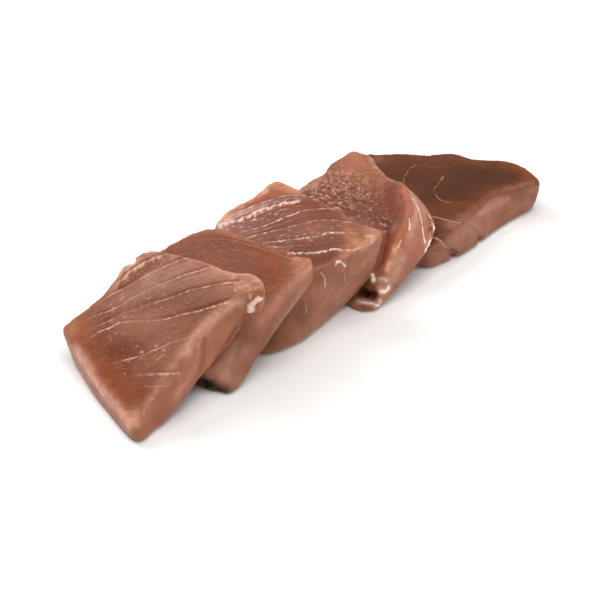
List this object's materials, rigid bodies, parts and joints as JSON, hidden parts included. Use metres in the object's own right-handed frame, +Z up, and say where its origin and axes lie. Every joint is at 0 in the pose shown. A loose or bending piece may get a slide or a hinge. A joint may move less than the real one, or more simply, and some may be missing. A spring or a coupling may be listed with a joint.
{
  "type": "raw tuna loin, sliced",
  "caption": "Raw tuna loin cut across into thick slices that lean on one another in a shingled row, the last one lying flat.",
  "frame": {"origin": "middle of the row's footprint, on the surface that it lies on", "axes": "+X along the row, from the near leaning slice to the far flat one; +Y to the back; +Z up"},
  "size_m": [0.2499, 0.0777, 0.0519],
  "materials": {
    "far_slice": "raw tuna flesh: moist, slightly translucent, soft satin sheen",
    "fourth_slice": "raw tuna flesh: moist, slightly translucent, soft satin sheen",
    "middle_slice": "raw tuna flesh: moist, slightly translucent, soft satin sheen",
    "second_slice": "raw tuna flesh: moist, slightly translucent, soft satin sheen",
    "near_slice": "raw tuna flesh: moist, slightly translucent, soft satin sheen"
  },
  "bodies": {
    "root": {"far_slice": "far_slice", "fourth_slice": "fourth_slice", "middle_slice": "middle_slice", "second_slice": "second_slice", "near_slice": "near_slice"}
  },
  "joints": []
}
